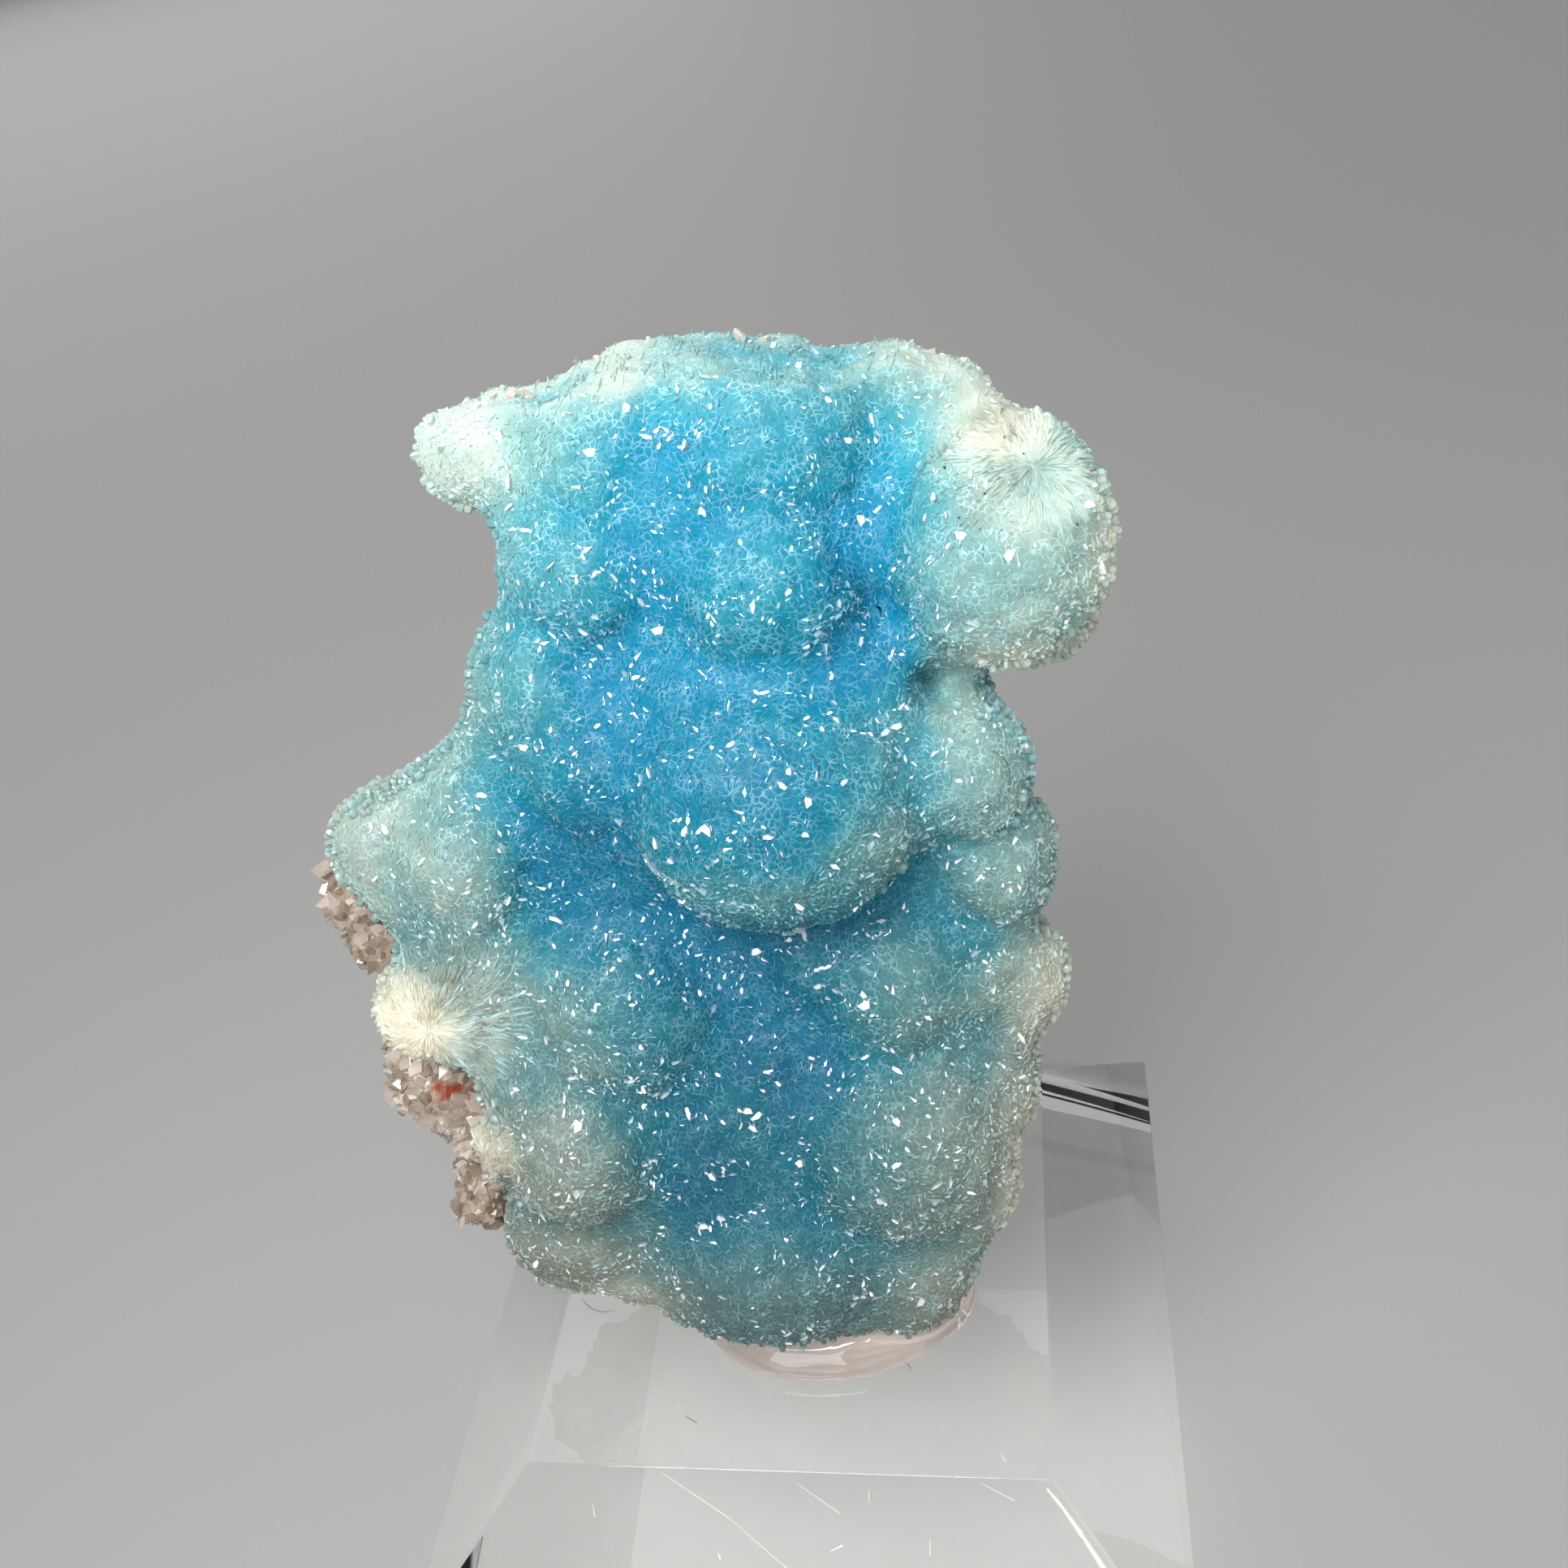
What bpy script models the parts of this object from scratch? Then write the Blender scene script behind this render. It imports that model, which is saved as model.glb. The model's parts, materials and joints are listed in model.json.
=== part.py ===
# A lumpy blue hemimorphite crust on its host rock, stood on a clear bevelled base.
# Units are metres. +Z is up, the specimen's face looks toward -Y, and the origin
# is the centre of the base's underside.

import math

import bmesh
import bpy
from mathutils import Matrix, Vector, noise

mm = 0.001

# The base: a square block with its four top edges bevelled at 45 degrees
base_side = 38.1 * mm
base_height = 19.05 * mm
base_bevel = 6.35 * mm

# How the specimen stands: where its foot is, and how its face is turned
foot = Vector((2.1, -6.5, 19.5)) * mm
face_turn = math.radians(9.1)
lean_back = math.radians(18.2)
dip_to_right = math.radians(8.4)

# Neighbours are kept this far apart. The crust is cut back further, because thinning
# out its faces afterwards moves its skin a little.
gap = 0.3 * mm
gap_before_thinning = 0.5 * mm
cutter_voxel = 0.45 * mm

crust_voxel = 0.55 * mm
crust_smoothing = 3
crust_skin_voxel = 0.4 * mm
crust_faces = 7300
crust_back = -5.0 * mm
crystal_pitch = 1.5 * mm
crystal_height = 0.45 * mm
groove_share = 0.35

rock_voxel = 0.7 * mm
rock_smoothing = 2
rock_faces = 1500
rock_back = -6.5 * mm
rock_front = -2.8 * mm
rock_roughness = 0.7 * mm
chip_pitch = 3.2 * mm

# Places on the specimen are (across, up, out) in mm: across its face to the right,
# up the face from the foot, and out of the face toward the viewer.
# Each lump is a centre and three radii in the same directions.
lumps = {
    "upper swell": ((-5.4, 42.2, -2.2), (9.0, 7.4, 6.8)),
    "middle swell": ((-5.6, 31.0, -2.4), (10.0, 8.2, 6.4)),
    "lower swell": ((-4.2, 13.2, -2.6), (11.4, 11.4, 5.8)),
    "left arm": ((-15.0, 44.4, -1.4), (3.4, 2.7, 2.1)),
    "left arm root": ((-12.6, 44.4, -0.9), (3.4, 3.6, 3.2)),
    "upper left boss": ((-9.4, 44.4, -0.6), (4.8, 5.2, 4.9)),
    "left shoulder": ((-10.6, 39.8, 0.2), (4.3, 3.9, 4.2)),
    "top centre": ((-3.6, 44.4, -0.8), (5.8, 6.0, 6.3)),
    "top right shelf": ((1.6, 46.2, -1.0), (3.6, 3.4, 3.6)),
    "top right lobe": ((3.7, 46.4, -0.6), (2.3, 2.5, 2.6)),
    "upper middle": ((-3.4, 39.4, 2.2), (4.2, 4.1, 4.0)),
    "ball": ((6.0, 41.2, 2.6), (4.8, 5.2, 4.8)),
    "ball crown": ((7.2, 43.1, -0.4), (3.0, 3.4, 3.0)),
    "ball lower right": ((8.0, 38.6, 1.4), (2.6, 2.8, 2.8)),
    "neck": ((4.6, 34.9, -1.6), (2.0, 2.4, 2.2)),
    "left waist": ((-12.7, 34.4, -0.4), (3.6, 4.6, 4.0)),
    "left middle": ((-10.4, 31.6, -0.6), (5.0, 4.8, 4.8)),
    "belly": ((-3.0, 30.4, 3.0), (6.4, 5.9, 5.3)),
    "belly upper right": ((0.9, 34.6, 1.2), (3.3, 3.2, 3.6)),
    "belly upper left": ((-6.4, 34.0, 0.4), (4.2, 4.0, 4.2)),
    "right knob": ((5.0, 31.4, 1.9), (3.1, 3.3, 3.3)),
    "right flank": ((6.6, 26.8, 0.4), (3.0, 3.5, 3.2)),
    "right ear": ((8.1, 20.3, -1.0), (2.7, 3.3, 2.2)),
    "right ear root": ((6.0, 21.2, -0.4), (2.8, 3.3, 3.2)),
    "left wing": ((-20.1, 26.8, -1.0), (3.4, 3.0, 2.6)),
    "left wing root": ((-16.6, 26.4, 0.0), (3.5, 4.1, 3.6)),
    "left hip": ((-15.8, 21.6, -0.6), (3.8, 3.5, 3.7)),
    "fan": ((-19.3, 18.8, -1.0), (2.7, 2.7, 2.5)),
    "left knee": ((-9.8, 19.0, -0.5), (5.2, 5.2, 5.0)),
    "valley pebble": ((-1.2, 22.2, 0.8), (2.6, 2.4, 2.6)),
    "right hip": ((2.3, 21.0, -0.2), (4.4, 4.6, 4.4)),
    "right thigh": ((2.6, 13.2, -0.3), (5.6, 6.2, 5.7)),
    "lower left": ((-12.2, 13.0, 0.6), (4.3, 4.4, 4.6)),
    "bottom left": ((-12.4, 7.2, -0.8), (3.9, 3.6, 3.6)),
    "bottom": ((-3.0, 6.0, -0.4), (6.2, 4.9, 4.9)),
    "bottom right": ((3.6, 5.6, -0.6), (3.4, 4.2, 3.8)),
    "right edge upper": ((7.3, 14.8, -1.0), (2.4, 3.8, 2.3)),
    "right edge lower": ((6.6, 9.8, -1.0), (2.3, 4.0, 2.3)),
}

# The thin plate that the lumps rise from
plate_outline = [
    (-16.8, 44.8), (-14.8, 46.2), (-11.0, 47.8), (-7.6, 49.0), (-3.0, 48.4), (2.4, 48.4),
    (4.8, 47.0), (8.4, 45.2), (9.6, 41.2), (8.6, 37.4), (5.6, 36.0), (5.4, 33.8), (7.0, 30.0),
    (8.4, 25.0), (9.4, 20.8), (8.4, 17.6), (8.4, 12.4), (7.2, 8.0), (5.8, 4.0), (3.4, 1.9),
    (-0.4, 1.6), (-5.4, 1.3), (-9.0, 3.2), (-13.6, 4.6), (-15.6, 7.4), (-16.0, 12.0),
    (-17.6, 16.8), (-21.0, 17.4), (-21.0, 20.2), (-19.8, 22.6), (-22.2, 25.4), (-21.8, 28.4),
    (-17.6, 31.4), (-15.8, 34.0), (-15.0, 37.6), (-13.6, 40.8), (-14.8, 42.6),
]
plate_front = 1.6 * mm
plate_back = -4.0 * mm

# Faces along which the crust has broken: a point on each, and the way that it looks
broken_faces = {
    "top": ((-4.0, 48.5, 0.0), (0.05, 1.0, 0.16)),
    "left shoulder top": ((-12.0, 47.2, 0.0), (-0.28, 1.0, 0.2)),
    "lower left": ((-9.0, 3.2, 0.0), (-0.33, -1.0, -0.1)),
}

# Hollows between the lumps: a centre and three radii, as for the lumps
hollows = {
    "under the ball": ((3.4, 35.2, 2.6), (1.1, 1.0, 2.2)),
    "broken top of the ball": ((7.6, 46.4, 7.2), (3.6, 3.6, 3.6)),
}

rock_outline = [
    (-14.2, 45.6), (-10.8, 46.9), (-7.0, 46.8), (-4.2, 47.4), (-1.0, 46.2), (2.6, 45.0),
    (5.6, 41.0), (4.0, 35.4), (5.6, 29.0), (7.0, 22.0), (6.0, 13.0), (3.4, 5.4), (-1.0, 3.0),
    (-6.0, 2.8), (-12.0, 5.4), (-16.0, 7.2), (-17.2, 10.4), (-19.4, 12.6), (-20.4, 16.0),
    (-20.6, 20.0), (-21.6, 23.6), (-20.0, 26.4), (-15.0, 31.0), (-12.6, 37.0), (-12.2, 42.0),
]

# Lumps of the rock, as for the crust: those that stand out past the crust at the left
# and along the top, and those that make its broken back
rock_lumps = {
    "glassy lump": ((-19.0, 14.8, -1.6), (2.9, 2.8, 2.7)),
    "glassy corner": ((-20.5, 15.3, -2.8), (1.7, 2.0, 1.8)),
    "small lump": ((-16.8, 12.2, -0.8), (1.8, 1.8, 1.7)),
    "crumbs": ((-17.4, 8.8, -2.0), (1.6, 2.6, 1.8)),
    "left crystals": ((-22.6, 24.0, -2.4), (2.1, 2.5, 1.8)),
    "left crystals below": ((-21.6, 21.0, -2.8), (1.5, 1.6, 1.5)),
    "top chip left": ((-13.4, 45.9, -4.4), (2.0, 1.0, 1.3)),
    "top chip middle": ((-11.0, 47.1, -4.6), (1.0, 1.3, 1.2)),
    "top chip right": ((-4.1, 47.5, -4.4), (1.4, 1.0, 1.3)),
    "upper back": ((-5.6, 38.0, -6.4), (7.4, 8.0, 3.4)),
    "middle back": ((-7.4, 24.6, -6.6), (10.6, 8.8, 4.2)),
    "lower back": ((-5.4, 12.6, -6.0), (9.2, 7.6, 3.4)),
    "right back": ((1.4, 28.0, -6.0), (4.4, 9.0, 2.8)),
}

# The gel: a flattened blob between the foot and the base
gel_centre = Vector((2.1, -3.6, 19.4)) * mm
gel_radii = Vector((7.2, 4.7, 3.6)) * mm
gel_turn = math.radians(10.0)
gel_voxel = 0.25 * mm
gel_faces = 600


def clear_scene():
    for item in list(bpy.data.objects):
        bpy.data.objects.remove(item, do_unlink=True)


def add_object(name, mesh, parent=None):
    item = bpy.data.objects.new(name, mesh)
    bpy.context.scene.collection.objects.link(item)
    item.parent = parent
    return item


def hide_as_helper(item):
    item.hide_render = True
    item.display_type = "WIRE"


def mesh_from(bm, name):
    mesh = bpy.data.meshes.new(name)
    bm.to_mesh(mesh)
    bm.free()
    return mesh


def add_ellipsoid(bm, centre, radii, turn=0.0, fineness=3):
    place = Matrix.Translation(centre) @ Matrix.Rotation(turn, 4, "Z")
    matrix = place @ Matrix.Diagonal((*radii, 1.0))
    bmesh.ops.create_icosphere(bm, subdivisions=fineness, radius=1.0, matrix=matrix)


def add_plate(bm, outline, back, front):
    corners = [bm.verts.new((x * mm, y * mm, back)) for x, y in outline]
    face = bm.faces.new(corners)
    raised = bmesh.ops.extrude_face_region(bm, geom=[face])
    top = [v for v in raised["geom"] if isinstance(v, bmesh.types.BMVert)]
    bmesh.ops.translate(bm, verts=top, vec=(0.0, 0.0, front - back))


def add_blobs(bm, table):
    for centre, radii in table.values():
        add_ellipsoid(bm, Vector(centre) * mm, Vector(radii) * mm)


def evaluated(item, name):
    graph = bpy.context.evaluated_depsgraph_get()
    return bpy.data.meshes.new_from_object(item.evaluated_get(graph), depsgraph=graph)


def remesh(item, voxel, smoothing=0):
    """Joins everything in the object into one closed skin and softens its creases."""
    joined = item.modifiers.new("join", "REMESH")
    joined.mode = "VOXEL"
    joined.voxel_size = voxel
    if smoothing:
        soft = item.modifiers.new("soften", "SMOOTH")
        soft.factor = 0.5
        soft.iterations = smoothing


def cut_away(item, cutter):
    cut = item.modifiers.new("cut", "BOOLEAN")
    cut.operation = "DIFFERENCE"
    cut.solver = "EXACT"
    cut.object = cutter


def settle(item):
    """Makes what the modifiers give the object's own mesh."""
    mesh = evaluated(item, item.name)
    item.modifiers.clear()
    item.data = mesh


def thin_out(item, faces):
    mesh = item.data
    count = sum(len(face.vertices) - 2 for face in mesh.polygons)
    fewer = item.modifiers.new("thin out", "DECIMATE")
    fewer.ratio = faces / count
    settle(item)


def displace(mesh, height_at):
    """Moves each vertex along its normal by height_at(place)."""
    normals = [vertex.normal.copy() for vertex in mesh.vertices]
    for vertex, normal in zip(mesh.vertices, normals):
        vertex.co += normal * height_at(vertex.co)


def crystal_relief(place):
    """Small crystal heads: a peak at each cell's middle and a groove between cells."""
    distances, _ = noise.voronoi(place / crystal_pitch)
    return crystal_height * (min(1.0, distances[1] - distances[0]) - groove_share)


def rock_relief(place):
    """Chips and hackly hollows, as on broken rock."""
    distances, _ = noise.voronoi(place / chip_pitch)
    rough = noise.fractal(place / chip_pitch, 0.9, 2.0, 3)
    return rock_roughness * (rough + distances[0] - 0.5)


def halfspace(name, point, direction, parent):
    """A large box whose one face lies on the point and looks against the direction."""
    size = 60 * mm
    bm = bmesh.new()
    bmesh.ops.create_cube(bm, size=size, matrix=Matrix.Translation((0, 0, size / 2)))
    item = add_object(name, mesh_from(bm, name), parent)
    item.location = Vector(point) * mm
    item.rotation_mode = "QUATERNION"
    item.rotation_quaternion = Vector(direction).to_track_quat("Z", "Y")
    hide_as_helper(item)
    return item


def grown_copy(source, name, amount, parent):
    """A copy whose surface stands out by amount, for cutting a gap around the source."""
    item = add_object(name, source.data.copy(), parent)
    swell = item.modifiers.new("swell", "DISPLACE")
    swell.strength = amount
    swell.mid_level = 0.0
    remesh(item, cutter_voxel)
    hide_as_helper(item)
    return item


def make_material(name, colour, roughness, transmission=0.0):
    material = bpy.data.materials.new(name)
    material.use_nodes = True
    shader = material.node_tree.nodes["Principled BSDF"]
    shader.inputs["Base Color"].default_value = (*colour, 1.0)
    shader.inputs["Metallic"].default_value = 0.0
    shader.inputs["Roughness"].default_value = roughness
    shader.inputs["Transmission Weight"].default_value = transmission
    return material


def finish(item, material, smooth_angle):
    mesh = item.data
    mesh.materials.clear()
    mesh.materials.append(material)
    mesh.shade_smooth()
    mesh.set_sharp_from_angle(angle=math.radians(smooth_angle))


def make_base():
    half = base_side / 2
    inner = half - base_bevel
    shoulder = base_height - base_bevel
    rings = [(half, 0.0), (half, shoulder), (inner, base_height)]
    bm = bmesh.new()
    loops = []
    for reach, height in rings:
        corners = [(-reach, -reach), (reach, -reach), (reach, reach), (-reach, reach)]
        loops.append([bm.verts.new((x, y, height)) for x, y in corners])
    bm.faces.new(list(reversed(loops[0])))
    bm.faces.new(loops[-1])
    for lower, upper in zip(loops, loops[1:]):
        for i in range(4):
            j = (i + 1) % 4
            bm.faces.new((lower[i], lower[j], upper[j], upper[i]))
    return add_object("acrylic_base", mesh_from(bm, "acrylic_base"))


def make_rock(seat):
    bm = bmesh.new()
    add_plate(bm, rock_outline, rock_back, rock_front - gap)
    add_blobs(bm, rock_lumps)
    bmesh.ops.recalc_face_normals(bm, faces=bm.faces)
    rock = add_object("matrix_rock", mesh_from(bm, "matrix_rock"), seat)
    remesh(rock, rock_voxel, rock_smoothing)
    settle(rock)
    displace(rock.data, rock_relief)
    thin_out(rock, rock_faces)
    return rock


def make_crust(seat, rock):
    bm = bmesh.new()
    add_plate(bm, plate_outline, plate_back, plate_front)
    add_blobs(bm, lumps)
    bmesh.ops.recalc_face_normals(bm, faces=bm.faces)
    crust = add_object("hemimorphite_crust", mesh_from(bm, "hemimorphite_crust"), seat)
    remesh(crust, crust_voxel, crust_smoothing)
    settle(crust)
    displace(crust.data, crystal_relief)

    bm = bmesh.new()
    add_blobs(bm, hollows)
    hollow = add_object("hollow_cutter", mesh_from(bm, "hollow_cutter"), seat)
    hide_as_helper(hollow)
    cut_away(crust, hollow)
    for name, (point, direction) in broken_faces.items():
        cut_away(crust, halfspace(name + " cutter", point, direction, seat))
    back = (0.0, 0.0, crust_back / mm)
    cut_away(crust, halfspace("back cutter", back, (0.0, 0.0, -1.0), seat))
    cut_away(crust, grown_copy(rock, "rock_cutter", gap_before_thinning, seat))
    remesh(crust, crust_skin_voxel)
    settle(crust)
    thin_out(crust, crust_faces)
    return crust


def make_gel(crust, rock):
    bm = bmesh.new()
    add_ellipsoid(bm, gel_centre, gel_radii, gel_turn, fineness=4)
    low = Vector((0.0, 0.0, base_height + gap))
    everything = bm.verts[:] + bm.edges[:] + bm.faces[:]
    cut = bmesh.ops.bisect_plane(bm, geom=everything, plane_co=low,
                                 plane_no=(0, 0, -1), clear_outer=True)
    rim = [e for e in cut["geom_cut"] if isinstance(e, bmesh.types.BMEdge)]
    bmesh.ops.edgeloop_fill(bm, edges=rim)
    bmesh.ops.recalc_face_normals(bm, faces=bm.faces)
    gel = add_object("mounting_gel", mesh_from(bm, "mounting_gel"))
    cut_away(gel, grown_copy(crust, "crust_cutter", gap, crust.parent))
    cut_away(gel, grown_copy(rock, "rock_cutter_low", gap, crust.parent))
    remesh(gel, gel_voxel)
    settle(gel)
    thin_out(gel, gel_faces)
    return gel


def main():
    clear_scene()
    seat = add_object("specimen_seat", None)
    seat.location = foot
    upright = Matrix.Rotation(math.radians(90.0), 3, "X")
    turn = Matrix.Rotation(face_turn, 3, "Z")
    lean = Matrix.Rotation(-lean_back, 3, "X")
    dip = Matrix.Rotation(-dip_to_right, 3, "Z")
    seat.rotation_euler = (turn @ lean @ upright @ dip).to_euler()
    bpy.context.view_layer.update()

    base = make_base()
    rock = make_rock(seat)
    crust = make_crust(seat, rock)
    gel = make_gel(crust, rock)

    acrylic = make_material("clear_acrylic", (0.95, 0.97, 0.98), 0.05, transmission=1.0)
    clear_gel = make_material("clear_gel", (0.92, 0.88, 0.88), 0.08, transmission=1.0)
    blue = make_material("blue_hemimorphite", (0.15, 0.47, 0.66), 0.3)
    brown = make_material("brown_matrix", (0.42, 0.33, 0.29), 0.5)
    finish(base, acrylic, 30.0)
    finish(gel, clear_gel, 50.0)
    finish(crust, blue, 40.0)
    finish(rock, brown, 25.0)


main()
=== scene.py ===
import json
import math
import random

import bmesh
import bpy
import numpy as np
from mathutils import Matrix, Vector, noise
from mathutils.bvhtree import BVHTree

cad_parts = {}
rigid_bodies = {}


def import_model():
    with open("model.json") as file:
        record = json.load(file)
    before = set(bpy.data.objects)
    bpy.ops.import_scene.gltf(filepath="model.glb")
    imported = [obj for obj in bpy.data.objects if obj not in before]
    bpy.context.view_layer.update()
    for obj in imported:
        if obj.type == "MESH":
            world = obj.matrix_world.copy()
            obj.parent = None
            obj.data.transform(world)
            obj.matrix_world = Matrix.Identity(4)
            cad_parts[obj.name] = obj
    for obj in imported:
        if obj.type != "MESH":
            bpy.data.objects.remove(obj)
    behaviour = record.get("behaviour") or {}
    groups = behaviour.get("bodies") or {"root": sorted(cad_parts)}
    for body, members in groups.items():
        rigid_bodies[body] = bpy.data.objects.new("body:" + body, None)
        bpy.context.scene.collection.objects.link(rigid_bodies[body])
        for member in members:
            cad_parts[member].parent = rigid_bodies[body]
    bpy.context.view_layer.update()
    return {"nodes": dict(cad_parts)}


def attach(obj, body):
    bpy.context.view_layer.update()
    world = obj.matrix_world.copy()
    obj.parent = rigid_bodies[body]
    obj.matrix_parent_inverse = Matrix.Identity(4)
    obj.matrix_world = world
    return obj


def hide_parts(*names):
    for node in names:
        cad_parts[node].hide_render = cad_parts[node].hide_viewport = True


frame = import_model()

scene = bpy.context.scene
scene.view_settings.view_transform = "Standard"
noise.seed_set(1)    # without a seed, noise vectors change from run to run
mm = 0.001


# Camera

cameraSet = {
    "eye": Vector((14.25, -51.4, 88.7)) * mm,
    "azimuth": 12.3,       # degrees to the right of straight in front
    "elevation": 36.1,     # degrees down from level
    "roll": -9.9,          # degrees
    "focal": 35.7,         # mm on a 36 mm wide sensor
}


def makeCamera(s):
    data = bpy.data.cameras.new("camera")
    data.lens = s["focal"]
    data.sensor_width = 36.0
    data.clip_start = 0.001
    data.clip_end = 20.0
    camera = bpy.data.objects.new("camera", data)
    scene.collection.objects.link(camera)
    turn = Matrix.Rotation(math.radians(s["azimuth"]), 4, "Z")
    pitch = Matrix.Rotation(math.radians(90.0 - s["elevation"]), 4, "X")
    roll = Matrix.Rotation(math.radians(s["roll"]), 4, "Z")
    camera.matrix_world = Matrix.Translation(s["eye"]) @ turn @ pitch @ roll
    scene.camera = camera


makeCamera(cameraSet)
print("camera placed")


# How the specimen leans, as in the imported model: across, up and out of its face

pose = {
    "foot": Vector((2.1, -6.5, 19.5)) * mm,
    "faceTurn": math.radians(9.1),
    "leanBack": math.radians(18.2),
    "dipToRight": math.radians(8.4),
}


def specimenMatrix(s):
    turn = Matrix.Rotation(s["faceTurn"], 4, "Z")
    lean = Matrix.Rotation(-s["leanBack"], 4, "X")
    upright = Matrix.Rotation(math.radians(90.0), 4, "X")
    dip = Matrix.Rotation(-s["dipToRight"], 4, "Z")
    return Matrix.Translation(s["foot"]) @ turn @ lean @ upright @ dip


seat = specimenMatrix(pose)
seatTurn = seat.to_3x3()


def place(across, up, out):    # millimetres on the specimen to a point in the scene
    return seat @ (Vector((across, up, out)) * mm)


# Node trees: a socket with arithmetic, and one method that makes any other node

class Socket:
    def __init__(self, graph, socket):
        self.graph = graph
        self.socket = socket

    def maths(self, operation, *values):
        inputs = {i: v for i, v in enumerate(values)}
        return self.graph.node("ShaderNodeMath", {"operation": operation}, inputs)

    def __add__(self, other):
        return self.maths("ADD", self, other)

    def __sub__(self, other):
        return self.maths("SUBTRACT", self, other)

    def __rsub__(self, other):
        return self.maths("SUBTRACT", other, self)

    def __mul__(self, other):
        return self.maths("MULTIPLY", self, other)

    __radd__ = __add__

    def clamp(self, low=0.0, high=1.0):
        return self.maths("MINIMUM", self.maths("MAXIMUM", self, low), high)

    def power(self, exponent):
        return self.maths("POWER", self, exponent)

    def step(self, low, high):    # 0 below low, 1 above high, smooth between
        settings = {"interpolation_type": "SMOOTHSTEP"}
        inputs = {"Value": self, "From Min": low, "From Max": high}
        return self.graph.node("ShaderNodeMapRange", settings, inputs)


class Graph:
    def __init__(self, tree):
        self.tree = tree

    def node(self, kind, settings=None, inputs=None, output=0):
        made = self.tree.nodes.new(kind)
        for key, value in (settings or {}).items():
            if key == "stops":
                self.setStops(made.color_ramp, value)
            else:
                setattr(made, key, value)
        for key, value in (inputs or {}).items():
            target = made.inputs[key]
            if isinstance(value, Socket):
                self.tree.links.new(value.socket, target)
            else:
                target.default_value = value
        return Socket(self, made.outputs[output]) if len(made.outputs) else None

    def setStops(self, ramp, stops):
        while len(ramp.elements) < len(stops):
            ramp.elements.new(0.5)
        for element, (position, colour) in zip(ramp.elements, stops):
            element.position = position
            element.color = (*colour, 1.0)

    def other(self, socket, name):    # another output of the node that a socket comes from
        return Socket(self, socket.socket.node.outputs[name])

    def attribute(self, name):
        return self.node("ShaderNodeAttribute", {"attribute_name": name}, output="Fac")

    def objectPlace(self):
        return self.node("ShaderNodeTexCoord", output="Object")

    def noise(self, place, size, detail=2.0, roughness=0.5):    # size of a feature, in metres
        inputs = {"Vector": place, "Scale": 1.0 / size, "Detail": detail, "Roughness": roughness}
        return self.node("ShaderNodeTexNoise", None, inputs)

    def bent(self, place, scale, reach):    # places moved about by noise, by up to the reach
        sway = self.node("ShaderNodeTexNoise", None, {"Vector": place, "Scale": scale}, output="Color")
        inputs = {0: sway, 1: (reach,) * 3, 2: place}
        return self.node("ShaderNodeVectorMath", {"operation": "MULTIPLY_ADD"}, inputs)

    def cellEdges(self, place, size):    # how far a place is from the edge of its cell
        inputs = {"Vector": place, "Scale": 1.0 / size}
        return self.node("ShaderNodeTexVoronoi", {"feature": "DISTANCE_TO_EDGE"}, inputs)

    def dimmed(self, colour, share):
        inputs = {0: colour, "Scale": share}
        return self.node("ShaderNodeVectorMath", {"operation": "SCALE"}, inputs)

    def bump(self, height, strength, distance):
        inputs = {"Strength": strength, "Distance": distance, "Height": height}
        return self.node("ShaderNodeBump", None, inputs)

    def mix(self, share, first, second):
        inputs = {0: share, 6: rgba(first), 7: rgba(second)}
        return self.node("ShaderNodeMix", {"data_type": "RGBA"}, inputs, output=2)


def rgba(colour):
    return colour if isinstance(colour, Socket) else (*colour, 1.0)


def newMaterial(name, **plain):
    material = bpy.data.materials.new(name)
    material.use_nodes = True
    graph = Graph(material.node_tree)
    shader = material.node_tree.nodes["Principled BSDF"]
    for key, value in plain.items():
        shader.inputs[key.replace("_", " ")].default_value = value
    return material, graph, shader


def feed(graph, shader, **links):
    for key, value in links.items():
        graph.tree.links.new(value.socket, shader.inputs[key.replace("_", " ")])


# Meshes

def linkMesh(name, mesh):
    item = bpy.data.objects.new(name, mesh)
    scene.collection.objects.link(item)
    return item


def flatten(item):    # what the modifiers give becomes the object's own plain mesh
    graph = bpy.context.evaluated_depsgraph_get()
    mesh = bpy.data.meshes.new_from_object(item.evaluated_get(graph), depsgraph=graph)
    item.modifiers.clear()
    old = item.data
    item.data = mesh
    bpy.data.meshes.remove(old)
    return item


def closedCopy(node, name):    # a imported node's mesh, its loose triangles merged
    bm = bmesh.new()
    bm.from_mesh(frame["nodes"][node].data)
    bmesh.ops.remove_doubles(bm, verts=bm.verts, dist=1e-6)
    mesh = bpy.data.meshes.new(name)
    bm.to_mesh(mesh)
    bm.free()
    mesh.materials.clear()
    return linkMesh(name, mesh)


def reskin(item, voxel, smoothing):
    joined = item.modifiers.new("reskin", "REMESH")
    joined.mode = "VOXEL"
    joined.voxel_size = voxel
    soft = item.modifiers.new("soften", "SMOOTH")
    soft.factor = 0.5
    soft.iterations = smoothing
    return flatten(item)


def points(mesh):
    co = np.empty(len(mesh.vertices) * 3, np.float32)
    mesh.vertices.foreach_get("co", co)
    return co.reshape(-1, 3).astype(float)


def normals(mesh):
    values = np.empty(len(mesh.vertices) * 3, np.float32)
    mesh.vertex_normals.foreach_get("vector", values)
    return values.reshape(-1, 3).astype(float)


def setPoints(mesh, co):
    mesh.vertices.foreach_set("co", co.astype(np.float32).ravel())
    mesh.update()


def setField(mesh, name, values):
    field = mesh.attributes.new(name, "FLOAT", "POINT")
    field.data.foreach_set("value", np.asarray(values, np.float32))


def onSpecimen(co):    # scene points to (across, up, out) in millimetres
    inverse = np.array(seat.inverted())
    return (co @ inverse[:3, :3].T + inverse[:3, 3]) / mm


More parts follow.
